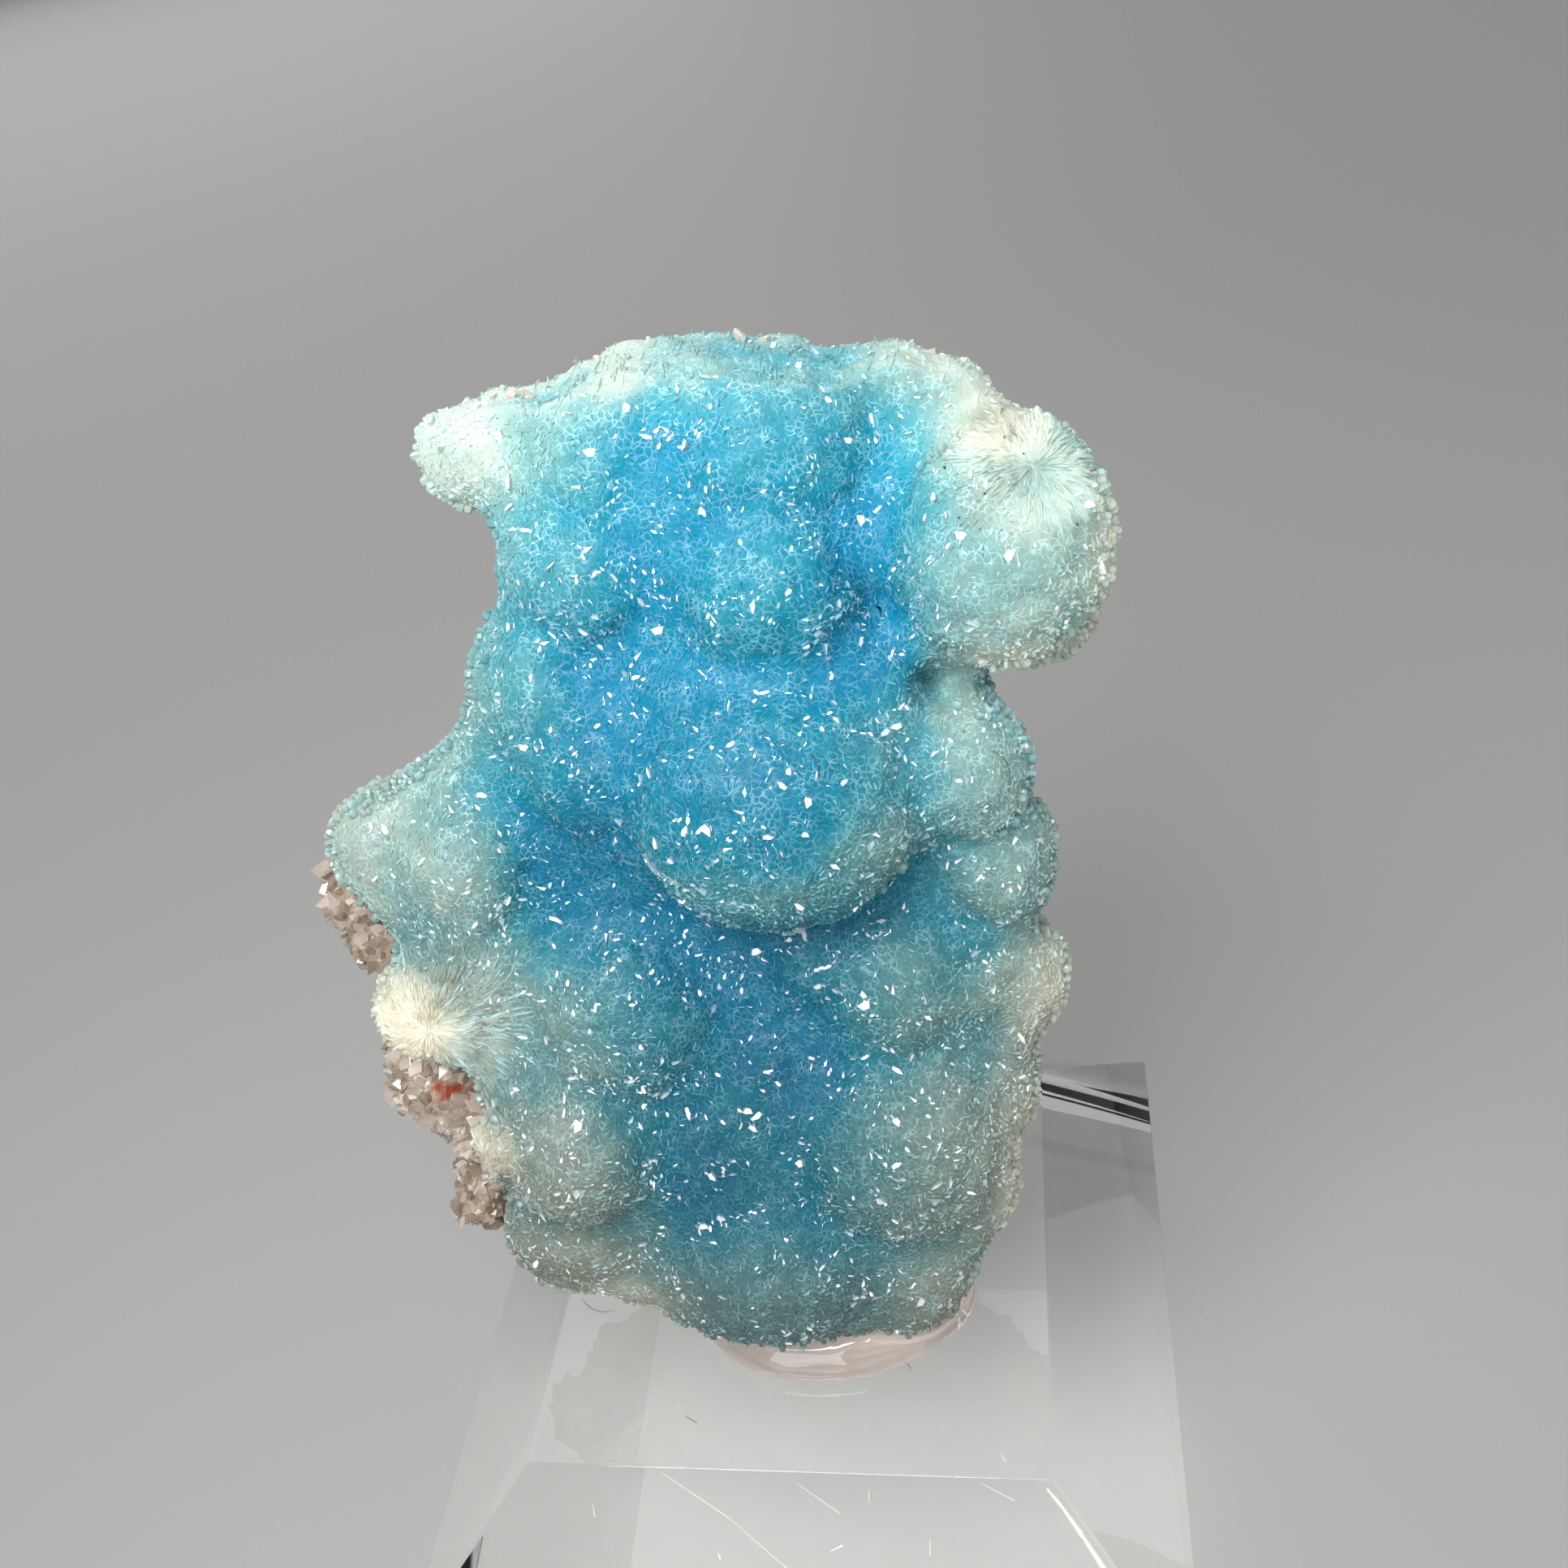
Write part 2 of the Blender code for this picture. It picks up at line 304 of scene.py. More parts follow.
def relaxed(mesh, co, rounds):    # the points after that many rounds of averaging with neighbours
    edges = np.empty(len(mesh.edges) * 2, np.int32)
    mesh.edges.foreach_get("vertices", edges)
    a, b = edges.reshape(-1, 2).T
    size = len(co)
    count = np.bincount(np.concatenate([a, b]), minlength=size)[:, None]
    now = co.copy()
    for _ in range(rounds):
        sums = [np.bincount(a, axis[b], size) + np.bincount(b, axis[a], size) for axis in now.T]
        now = 0.5 * now + 0.5 * np.stack(sums, axis=1) / count
    return now


def smoothstep(low, high, x):
    t = np.clip((x - low) / (high - low), 0.0, 1.0)
    return t * t * (3 - 2 * t)


def treeOf(item):
    mesh = item.data
    return BVHTree.FromPolygons([v.co for v in mesh.vertices], [p.vertices for p in mesh.polygons])


# The crust: its body, and what is measured on it for the crystals and the colours

crustSet = {
    "voxel": 0.32 * mm,
    "smoothing": 8,
    "clumpSize": 1.1 * mm,     # how wide the small clumps of crystals are
    "clumpRise": 0.16 * mm,
    "topUneven": 0.30 * mm,    # how far the broken top is from flat
    "topClump": 2.2 * mm,
    "valleyFill": 0.8,         # the share of a crease's depth that grown crystals fill
    "reliefRounds": 100,       # how far around a point its relief is compared
    "hiddenReach": 1.2 * mm,   # a skin this near to the rock in front of it is hidden
    "brokenFrom": 46.4,        # mm up the face, above which what looks up is broken
    "fanWobble": 1.2 * mm,     # the size of the bends in a fan's ridges
    "fanRidge": 0.06,          # mm
    "grainClump": 2.4 * mm,    # how wide the patches are in which crystals lie one way
    "sparkleClump": 1.5 * mm,
}

# How blue the crust is, from 0 to 1: its start, and what each place adds or takes
blueSet = {
    "start": 0.22,
    "onSpine": 0.50,
    "standingOut": 0.16,
    "inValleys": 0.45,         # for each mm of depth
    "uneven": 0.10,
    "unevenClump": 2.6 * mm,
    "palerFoot": 0.20,
    "palerTop": 0.16,          # where the top is broken
    "palerBack": 0.45,
}

# Height up the face, middle of the blue across it, and its half width, in mm
blueSpine = [
    (1.0, -3.0, 6.0), (6.0, -3.0, 6.4), (12.0, -3.6, 6.4), (18.0, -4.2, 6.6), (24.0, -5.4, 8.2),
    (30.0, -6.6, 8.8), (36.0, -6.4, 8.6), (42.0, -4.8, 9.0), (48.0, -4.0, 8.6),
]

# Soft patches: across, up, their two radii in mm, and how much bluer (or paler) they are
tonePatches = [
    (7.2, 41.0, 5.0, 5.4, -0.07), (-17.2, 44.2, 4.2, 3.6, -0.28), (-12.5, 44.6, 3.6, 3.0, -0.12),
    (-20.6, 27.4, 4.2, 3.6, -0.16), (9.2, 20.6, 2.8, 3.8, -0.30), (8.2, 12.0, 2.6, 7.0, -0.30),
    (-15.4, 21.2, 4.0, 3.6, -0.12), (-18.4, 18.4, 3.6, 3.6, -0.55), (-14.0, 11.2, 4.4, 5.0, -0.04),
    (6.9, 44.0, 3.2, 3.2, -0.10), (-12.0, 4.6, 6.0, 3.2, -0.20), (0.0, 1.6, 9.0, 1.8, -0.14),
    (3.8, 46.8, 4.0, 3.2, -0.30), (-10.0, 48.0, 5.0, 2.2, -0.22), (0.6, 38.6, 2.6, 4.4, 0.18),
    (-3.0, 48.4, 9.0, 2.4, -0.18), (-12.4, 27.0, 3.0, 4.2, 0.24), (-5.6, 22.6, 3.6, 2.6, 0.26),
    (-2.6, 18.0, 3.0, 3.6, 0.20), (-6.4, 11.6, 2.4, 4.0, 0.22), (-9.4, 33.4, 4.6, 4.2, 0.06),
    # The paler patch at 4.4, 34.8 lightens the hollow under the ball: partly its pale colour, partly
    # painted light against its shade
    (4.4, 34.8, 1.6, 1.6, -0.2), (1.6, 36.2, 1.8, 1.4, 0.25), (-4.0, 27.3, 5.0, 1.5, -0.22),
    (1.0, 29.0, 2.4, 2.0, -0.16), (-3.0, 32.4, 4.6, 3.4, 0.12), (4.6, 24.0, 2.4, 4.0, 0.12),
    (0.0, 6.0, 8.0, 6.0, -0.08),
]

# The same for cream, brown and smooth places, with how strong each is
creamPatches = [
    # The cream patches at 10.8, 40.0 and 7.4, 36.6 lift the ball's lower right: partly its cream colour,
    # partly painted light against its shade
    (-19.6, 18.9, 2.7, 2.7, 0.9), (10.8, 40.0, 2.0, 5.0, 0.5), (7.4, 36.6, 4.0, 1.4, 0.4),
    (9.6, 19.6, 1.6, 3.4, 0.45), (8.8, 10.0, 1.6, 6.0, 0.5), (-16.0, 13.3, 1.6, 1.6, 0.8),
    (6.9, 44.0, 2.8, 2.6, 0.18), (5.6, 46.0, 2.6, 1.6, 0.45), (-12.0, 3.6, 5.0, 2.0, 0.3),
    (-9.2, 47.9, 1.5, 1.2, 0.35),
]

brownPatches = [
    (6.9, 44.2, 0.7, 0.7, 0.5), (4.6, 43.2, 0.8, 1.4, 0.45), (6.0, 46.0, 1.4, 0.6, 0.8),
    (8.6, 36.8, 1.6, 0.7, 0.15), (-14.4, 6.0, 3.4, 1.6, 0.45), (-17.6, 22.2, 1.6, 1.6, 0.4),
    (8.9, 17.4, 1.4, 1.6, 0.4), (-20.8, 18.0, 1.2, 1.4, 0.5), (-10.0, 5.6, 7.0, 4.0, 0.28),
    (8.4, 11.0, 2.4, 6.0, 0.22), (0.0, 3.0, 9.0, 5.0, 0.42), (-14.0, 11.0, 4.0, 6.0, 0.40),
    (-4.0, 9.0, 16.0, 10.0, 0.06), (-16.0, 13.3, 1.8, 1.8, 0.35),
]

smoothPatches = [(3.2, 35.6, 3.2, 2.2, 1.0)]    # the hollow under the ball, which has no beads

# Broken balls that show their fibres. Centre, reach and rise are in mm. Crystals outside point
# at them as far as the pull says, in reaches, and "outside" is the share of fibres there.
fans = {
    "ball": {"at": (6.9, 44.2, 4.6), "facing": (0.15, 0.63, 0.76), "reach": 3.1, "rise": 0.30,
             "ridges": 26, "pull": 1.2, "outside": 0.0},
    "cream": {"at": (-18.7, 18.8, 1.4), "facing": (-0.1, 0.0, 1.0), "reach": 2.6, "rise": 0.30,
              "ridges": 30, "pull": 2.3, "outside": 0.25},
    "tan": {"at": (-16.0, 13.3, 2.4), "facing": (-0.3, 0.0, 0.95), "reach": 1.6, "rise": 0.80,
            "ridges": 20, "pull": 1.0, "outside": 0.0},
}

# The waves in a fan's edge: height in reaches, number around, and start in radians
edgeWaves = [(0.10, 3, 1.0), (0.06, 7, 0.0), (0.03, 19, 0.0)]

# How the broken top rises and falls along its length: across, half width and rise, in mm
topBumps = [(-9.6, 2.0, 0.15), (-0.9, 1.6, -0.30), (1.9, 1.1, 0.30), (-12.6, 1.2, -0.4)]


def patchwork(across, up, patches):
    total = np.zeros(len(across))
    for x, y, wide, tall, amount in patches:
        away = np.hypot((across - x) / wide, (up - y) / tall)
        total += amount * (1.0 - smoothstep(0.35, 1.25, away))
    return total


def rayDistances(tree, starts, directions, far):
    found = np.full(len(starts), far)
    for i, (start, direction) in enumerate(zip(starts, directions)):
        hit = tree.ray_cast(Vector(start), Vector(direction), far)
        if hit[3] is not None:
            found[i] = hit[3]
    return found


def fractal(co, size, roughness=0.8, layers=3):
    return np.array([noise.fractal(Vector(p) / size, roughness, 2.0, layers) for p in co])


def aroundFan(local, fan):    # distance in reaches, angle and outward direction about a fan
    facing = np.array(Vector(fan["facing"]).normalized())
    away = local - np.array(fan["at"])
    flat = away - np.outer(away @ facing, facing)
    side = np.cross(facing, (0.0, 1.0, 0.0))
    angle = np.arctan2(flat @ np.cross(side, facing), flat @ side)
    edge = np.full(len(angle), 0.92)
    for height, count, start in edgeWaves:
        edge += height * np.sin(count * angle + start)
    distance = np.linalg.norm(away, axis=1) / (fan["reach"] * edge)
    return distance, angle, flat / np.maximum(np.linalg.norm(flat, axis=1), 1e-9)[:, None]


def brokenTop(upward, up, s, fade):    # 1 on the broken top, 0 elsewhere, with a fade in mm
    return smoothstep(0.5, 0.9, upward) * smoothstep(s["brokenFrom"] - fade, s["brokenFrom"] + 0.6, up)


def shapeCrust(mesh, s):    # clumps, the uneven broken top and the raised fans
    co = points(mesh)
    normal = normals(mesh)
    local = onSpecimen(co)
    broken = brokenTop(normal @ np.array(seatTurn.col[1]), local[:, 1], s, 1.0)
    valley = np.einsum("ij,ij->i", relaxed(mesh, co, s["reliefRounds"]) - co, normal)
    rise = s["clumpRise"] * fractal(co, s["clumpSize"])
    rise += s["valleyFill"] * np.clip(valley - 0.1 * mm, 0.0, None)
    rise += broken * s["topUneven"] * fractal(co + 7.0, s["topClump"], 0.9)
    for middle, half, height in topBumps:
        rise += broken * height * mm * np.exp(-(((local[:, 0] - middle) / half) ** 2))
    wobble = fractal(co + 3.0, s["fanWobble"])
    for fan in fans.values():
        distance, angle, _ = aroundFan(local, fan)
        inside = 1.0 - smoothstep(0.88, 1.0, distance)
        dome = fan["rise"] * (0.8 + 0.2 * smoothstep(0.9, 0.3, distance))
        ridges = np.sin(fan["ridges"] * angle + 5.0 * wobble) * smoothstep(0.1, 0.5, distance)
        rise += inside * mm * (dome + s["fanRidge"] * ridges)
    setPoints(mesh, co + normal * rise[:, None])


def howBlue(co, relief, outward, broken, s):
    across, up, out = onSpecimen(co).T
    height, middle, half = np.array(blueSpine).T
    away = np.abs(across - np.interp(up, height, middle)) / np.interp(up, height, half)
    blue = s["start"] + s["onSpine"] * (1.0 - smoothstep(0.35, 1.45, away))
    blue += s["standingOut"] * smoothstep(-4.5, 0.5, out)
    blue += patchwork(across, up, tonePatches) + s["inValleys"] * np.clip(relief, -0.3, 0.9)
    uneven = s["uneven"] * fractal(co + 11.0, s["unevenClump"])
    blue += uneven - s["palerFoot"] * (1.0 - smoothstep(4.0, 26.0, up))
    paler = s["palerTop"] * broken + s["palerBack"] * (1.0 - smoothstep(-0.7, -0.1, outward))
    return blue - paler


def measureCrust(crust, rock, s):
    mesh = crust.data
    co = points(mesh)
    normal = normals(mesh)
    local = onSpecimen(co)
    across, up, _ = local.T
    outDirection = np.array(seatTurn.col[2])
    upward = normal @ np.array(seatTurn.col[1])
    outward = normal @ outDirection

    soft = relaxed(mesh, co, s["reliefRounds"])
    relief = np.einsum("ij,ij->i", soft - co, normal) / mm      # above 0 in a valley
    gapToRock = rayDistances(treeOf(rock), co + normal * 0.02 * mm, normal, s["hiddenReach"])
    visible = (gapToRock >= s["hiddenReach"]).astype(float)
    broken = brokenTop(upward, up, s, 0.6)
    topBand = smoothstep(0.15, 0.6, upward) * smoothstep(44.6, 46.0, up)
    blue = howBlue(co, relief, outward, broken, blueSet)

    fanShare, rays = np.zeros((2, len(co)))
    grain = np.array([noise.noise_vector(Vector(p) / s["grainClump"]) for p in co])
    grain = grain * (1 - broken)[:, None] + broken[:, None] * (outDirection + 0.35 * grain)
    for fan in fans.values():
        distance, _, direction = aroundFan(local, fan)
        near = 1.0 - smoothstep(0.7 * fan["pull"], fan["pull"], distance)
        fanShare = np.maximum(fanShare, 1.0 - smoothstep(0.85, 1.0, distance))
        rays = np.maximum(rays, fan["outside"] * near)
        radial = direction @ np.array(seatTurn).T
        grain = grain * (1 - near)[:, None] + radial * near[:, None]
    bare = np.maximum(fanShare, broken)

    sideways = 1.0 - smoothstep(0.20, 0.62, np.abs(outward))
    beaded = sideways * (1.0 - smoothstep(0.30, 0.55, blue)) * (1 - bare) * (1 - topBand) * visible
    beaded *= 1.0 - patchwork(across, up, smoothPatches)
    netted = (1 - bare) * (1 - 0.7 * beaded) * (1 - 0.5 * topBand) * smoothstep(-4.0, 9.0, up)
    sparkle = smoothstep(0.0, 0.55, fractal(co + 5.0, s["sparkleClump"]) + 0.15) * (1 - 0.7 * bare)
    fields = {
        "blue": np.clip(blue, 0.0, 1.0),
        "cream": np.clip(patchwork(across, up, creamPatches), 0.0, 1.0),
        "brown": np.clip(patchwork(across, up, brownPatches), 0.0, 1.0),
        "up": up,
        # valley is read by crustColour to paint light into valleys and a little shade onto crests
        "valley": np.clip(relief, -0.12, 0.5),
        "netted": netted * visible,
        "fibrous": np.maximum(fanShare, np.maximum(rays, 0.10 * broken)) * visible,
        "beaded": beaded,
        # glinting says where the flakes and streaks with painted glints grow, fewer towards the foot
        "glinting": (0.06 + 0.94 * sparkle) * (0.55 + 0.45 * smoothstep(2.0, 16.0, up)) * visible,
    }
    for name, values in fields.items():
        setField(mesh, name, values)
    field = mesh.attributes.new("grain", "FLOAT_VECTOR", "POINT")
    field.data.foreach_set("vector", grain.astype(np.float32).ravel())


def makeCrust(s):
    rock = closedCopy("matrix_rock", "rockGauge")
    crust = reskin(closedCopy("hemimorphite_crust", "crust_body"), s["voxel"], s["smoothing"])
    shapeCrust(crust.data, s)
    measureCrust(crust, rock, s)
    bpy.data.objects.remove(rock)
    return crust


crust = makeCrust(crustSet)
print("crust body:", len(crust.data.polygons), "faces")


# The crystals, scattered over the crust by Geometry Nodes from a few small shapes

def ringMesh(name, rings, edge, peak=None):    # edge says how pale each ring, and the peak, is: its share of painted highlight and glint
    bm = bmesh.new()
    made = [[bm.verts.new(corner) for corner in ring] for ring in rings]
    sides = len(rings[0])
    for low, high in zip(made, made[1:]):
        for i in range(sides):
            j = (i + 1) % sides
            bm.faces.new((low[i], low[j], high[j], high[i]))
    shares = []
    for share in edge[:len(rings)]:
        shares += [share] * sides
    if peak is None:
        bm.faces.new(made[-1])
    else:
        top = bm.verts.new(peak)
        shares.append(edge[-1])
        for i in range(sides):
            bm.faces.new((made[-1][i], made[-1][(i + 1) % sides], top))
    mesh = bpy.data.meshes.new(name)
    bm.to_mesh(mesh)
    bm.free()
    setField(mesh, "edge", shares)
    return mesh


def polygonRing(sides, width, depth, height, tilt=0.0):
    ring = []
    for i in range(sides):
        angle = 2 * math.pi * (i + 0.5) / sides
        x = 0.5 * width * math.cos(angle)
        ring.append((x, 0.5 * depth * math.sin(angle), height + tilt * x))
    return ring


# Each shape of a flake, streak or shard is its sides, how slim it is and how its top slants
bladeSet = {"width": 0.30 * mm, "thick": 0.060 * mm, "height": 0.055 * mm, "sunk": 0.05 * mm,
            "tilts": (0.0, 0.35, -0.25)}
flakeSet = {"width": 0.66 * mm, "height": 0.15 * mm, "sunk": 0.15 * mm,
            "shapes": ((4, 0.36, 0.25), (5, 0.62, -0.35), (6, 0.80, 0.15), (5, 0.42, 0.40),
                       (4, 0.20, 0.10), (3, 0.55, -0.20), (6, 0.30, 0.10), (4, 0.55, -0.10))}
streakSet = {"width": 0.42 * mm, "height": 0.115 * mm, "sunk": 0.10 * mm,
             "shapes": ((4, 0.22, 0.05), (5, 0.34, -0.15), (4, 0.48, 0.20), (3, 0.30, 0.10),
                        (6, 0.55, -0.1))}
beadSet = {"width": 0.42 * mm, "depth": 0.34 * mm, "height": 0.30 * mm, "sunk": 0.20 * mm,
           "slims": (1.0, 0.8)}
shardSet = {"width": 1.5 * mm, "height": 0.26 * mm, "sunk": 0.45 * mm,
            "shapes": ((5, 0.80, 0.35), (4, 0.60, -0.45), (6, 0.90, 0.20), (5, 0.50, -0.30))}
fibreSet = {"length": 1.15 * mm, "thick": 0.10 * mm, "height": 0.09 * mm, "sunk": 0.05 * mm}


def bladeMesh(s, tilt):    # a thin upright plate with a pale top edge of painted highlight
    foot = polygonRing(4, s["width"] * 1.3, s["thick"] * 1.6, -s["sunk"])
    crest = polygonRing(4, s["width"] * 1.2, s["thick"] * 0.7, s["height"], tilt)
    return ringMesh("blade", [foot, crest], (0.0, 1.0))


def flakeMesh(s, sides, slim, tilt):    # a chunky crystal with one flat, slanting, uneven top
    chance = random.Random(sides * 10 + round(slim * 100))
    angles = [2 * math.pi * (i + chance.uniform(-0.36, 0.36)) / sides for i in range(sides)]
    reaches = [chance.uniform(0.5, 1.0) for _ in range(sides)]
    levels = [(1.0, -s["sunk"], 0.0), (1.0, s["height"] * 0.94, tilt), (0.86, s["height"], tilt)]
    rings = []
    for share, height, lift in levels:
        ring = []
        for angle, reach in zip(angles, reaches):
            radius = 0.5 * s["width"] * share * reach
            x = radius * math.cos(angle)
            ring.append((x, radius * slim * math.sin(angle), height + lift * x))
        rings.append(ring)
    return ringMesh("flake", rings, (0.0, 0.3, 1.0))


def beadMesh(s, slim):    # a rounded glassy head
    levels = [(0.8, -s["sunk"]), (1.0, 0.35 * s["height"]), (0.72, 0.82 * s["height"])]
    rings = [polygonRing(6, s["width"] * r, s["depth"] * slim * r, z) for r, z in levels]
    return ringMesh("bead", rings, (0.0, 0.35, 0.8, 1.0), (0.0, 0.0, s["height"]))


def fibreMesh(s):    # a long low ridge, laid along its x axis
    half = 0.5 * s["length"]
    foot = [(half, 0.0), (0.0, s["thick"]), (-half, 0.0), (0.0, -s["thick"])]
    low = [(x, y, -s["sunk"]) for x, y in foot]
    high = [(0.7 * x, 0.35 * y, s["height"] * 0.8) for x, y in foot]
    return ringMesh("fibre", [low, high], (0.2, 0.9, 1.0), (0.0, 0.0, s["height"]))


def makeShelf(name, meshes):    # the shapes that one scatter picks from
    shelf = bpy.data.collections.new(name)
    for i, mesh in enumerate(meshes):
        shelf.objects.link(bpy.data.objects.new(name + "_shape_" + str(i), mesh))
    return shelf


def joinAt(name, spots, tree):    # spots: mesh, across, up, out in mm on the specimen, size and spin
    bm = bmesh.new()
    for shape, across, up, out, size, spin in spots:
        point, normal, _, _ = tree.find_nearest(place(across, up, out))
        turn = normal.to_track_quat("Z", "Y").to_matrix().to_4x4() @ Matrix.Rotation(spin, 4, "Z")
        part = shape.copy()
        part.transform(Matrix.Translation(point) @ turn @ Matrix.Scale(size, 4))
        bm.from_mesh(part)
        bpy.data.meshes.remove(part)
    mesh = bpy.data.meshes.new(name)
    bm.to_mesh(mesh)
    bm.free()
    setField(mesh, "luck", [1.0] * len(mesh.vertices))
    return linkMesh(name, mesh)


def strandMesh(name, ways, thick, steps=8):    # three-sided threads along ways of three points each
    bm = bmesh.new()
    angles = [2 * math.pi * j / 3 for j in range(3)]
    around = [Vector((math.cos(a), 0.5 * math.cos(a), math.sin(a))) for a in angles]
    for start, middle, end in ways:
        rings = []
        for i in range(steps + 1):
            t = i / steps
            centre = start.lerp(middle, t).lerp(middle.lerp(end, t), t)
            width = thick * (1.0 - 0.7 * abs(2 * t - 1) ** 3)
            rings.append([bm.verts.new(centre + width * away) for away in around])
        for low, high in zip(rings, rings[1:]):
            for j in range(3):
                k = (j + 1) % 3
                bm.faces.new((low[j], low[k], high[k], high[j]))
        bm.faces.new(reversed(rings[0]))
        bm.faces.new(rings[-1])
    mesh = bpy.data.meshes.new(name)
    bm.to_mesh(mesh)
    bm.free()
    return linkMesh(name, mesh)


shelves = {
    "blades": makeShelf("blades", [bladeMesh(bladeSet, tilt) for tilt in bladeSet["tilts"]]),
    "flakes": makeShelf("flakes", [flakeMesh(flakeSet, *shape) for shape in flakeSet["shapes"]]),
    "streaks": makeShelf("streaks", [flakeMesh(streakSet, *shape) for shape in streakSet["shapes"]]),
    "beads": makeShelf("beads", [beadMesh(beadSet, slim) for slim in beadSet["slims"]]),
    "fibres": makeShelf("fibres", [fibreMesh(fibreSet)]),
    "shards": makeShelf("shards", [flakeMesh(shardSet, *shape) for shape in shardSet["shapes"]]),
}


def scatterTree(name):
    tree = bpy.data.node_groups.new(name, "GeometryNodeTree")
    wants = [
        ("Surface", "Geometry"), ("Shelf", "Collection"), ("Where", "String"), ("Spacing", "Float"),
        ("Most per m2", "Float"), ("Lean", "Float"), ("Follow grain", "Float"), ("Spin", "Float"),
        ("Smallest", "Float"), ("Largest", "Float"), ("From up", "Float"), ("To up", "Float"),
        ("Seed", "Int"), ("Finish", "Material"),
    ]
    for title, kind in wants:
        tree.interface.new_socket(title, in_out="INPUT", socket_type="NodeSocket" + kind)
    tree.interface.new_socket("Crystals", in_out="OUTPUT", socket_type="NodeSocketGeometry")
    graph = Graph(tree)
    surface = graph.node("NodeGroupInput", output="Surface")

    def given(title):
        return graph.other(surface, title)

    def named(title, kind="FLOAT"):
        return graph.node("GeometryNodeInputNamedAttribute", {"data_type": kind}, {"Name": title})

    def chance(low, high, offset):
        inputs = {2: low, 3: high, "Seed": given("Seed") + offset}
        return graph.node("FunctionNodeRandomValue", {"data_type": "FLOAT"}, inputs, output=1)

    up = named("up")
    inside = up.maths("GREATER_THAN", up, given("From up")) * up.maths("LESS_THAN", up, given("To up"))
    spread = graph.node(
        "GeometryNodeDistributePointsOnFaces", {"distribute_method": "POISSON"},
        {"Mesh": surface, "Distance Min": given("Spacing"), "Density Max": given("Most per m2"),
         "Density Factor": named(given("Where")) * inside, "Seed": given("Seed")},
    )
    along = graph.node("FunctionNodeAlignRotationToVector", {"axis": "X", "pivot_axis": "Z"},
                       {"Rotation": graph.other(spread, "Rotation"), "Factor": given("Follow grain"),
                        "Vector": named("grain", "FLOAT_VECTOR")})
    spin = graph.node("ShaderNodeCombineXYZ", None, {"Z": chance(-1.0, 1.0, 13) * given("Spin")})
    lean = graph.node("ShaderNodeCombineXYZ", None, {"X": chance(-1.0, 1.0, 11) * given("Lean"),
                                                     "Y": chance(-1.0, 1.0, 12) * given("Lean")})
    settings = {"rotation_space": "LOCAL"}
    spun = graph.node("FunctionNodeRotateRotation", settings, {0: along, 1: spin})
    leaned = graph.node("FunctionNodeRotateRotation", settings, {0: spun, 1: lean})
    shelf = graph.node("GeometryNodeCollectionInfo", None,
                       {"Collection": given("Shelf"), "Separate Children": True, "Reset Children": True})
    placed = graph.node(
        "GeometryNodeInstanceOnPoints", None,
        {"Points": spread, "Instance": shelf, "Pick Instance": True, "Rotation": leaned,
         "Scale": chance(given("Smallest"), given("Largest"), 14)},
    )
    lucky = graph.node("GeometryNodeStoreNamedAttribute", {"data_type": "FLOAT", "domain": "INSTANCE"},
                       {"Geometry": placed, "Name": "luck", "Value": chance(0.0, 1.0, 15)})
    real = graph.node("GeometryNodeRealizeInstances", None, {"Geometry": lucky})
    done = graph.node("GeometryNodeSetMaterial", None, {"Geometry": real, "Material": given("Finish")})
    graph.node("NodeGroupOutput", None, {"Crystals": done})
    return tree


def scatter(source, tree, name, values):    # runs the tree on the source and keeps its crystals
    item = linkMesh(name, source.data.copy())
    modifier = item.modifiers.new("scatter", "NODES")
    modifier.node_group = tree
    for socket in tree.interface.items_tree:
        if socket.in_out == "INPUT" and socket.name in values:
            modifier[socket.identifier] = values[socket.name]
    flatten(item)
    print(name + ":", len(item.data.polygons), "faces")
    return item


# Finishes

colourSet = {
    "blues": [
        (0.00, (0.44, 0.52, 0.44)), (0.25, (0.22, 0.38, 0.35)), (0.50, (0.070, 0.290, 0.330)),
        (0.75, (0.004, 0.23, 0.33)), (1.00, (0.0, 0.18, 0.32)),
    ],
    "cream": (0.70, 0.64, 0.49),
    "brown": (0.13, 0.10, 0.065),
    # The two edge colours are the pale painted highlight on crystal edges
    "edge": (0.48, 0.74, 0.78),
    "creamHighlight": (0.82, 0.80, 0.68),
    "glintWhite": (0.95, 0.97, 1.0),
    "cell": 0.30 * mm,    # of the pale net of painted highlight on the body
    "IOR": 1.61,
}


def crustColour(g, s, tone):    # painted shade: darker towards the foot, where the light from above is weaker, and a little on crests; painted light: paler in valleys, against their shade
    deep = g.node("ShaderNodeValToRGB", {"stops": s["blues"]}, {"Fac": tone})
    share = (g.attribute("up").step(10.0, 52.0) * 0.54 + 0.46) * (1.02 + g.attribute("valley") * 0.5)
    warm = g.mix(g.attribute("cream") * 0.85, g.dimmed(deep, share), s["cream"])
    return g.mix(g.attribute("brown") * 0.6, warm, s["brown"])


def crystalFinish(s, name, clear, shine, rough):
    material, g, shader = newMaterial(name, IOR=s["IOR"], Transmission_Weight=clear,
                                      Specular_IOR_Level=shine)
    luck = g.attribute("luck")
    edge = g.attribute("edge")
    tone = (g.attribute("blue") + (luck - 0.5) * 0.2).clamp()
    # Painted highlight: the crests are paler, as edges catching the light
    highlightShare = edge * (0.10 + luck.power(2.5) * 0.68) * (1.0 - tone * 0.6)
    highlightColour = g.mix(g.attribute("cream"), s["edge"], s["creamHighlight"])
    cell = g.mix(highlightShare, crustColour(g, s, tone), highlightColour)
    feed(g, shader, Base_Color=cell, Roughness=rough + luck * 0.2)
    return material


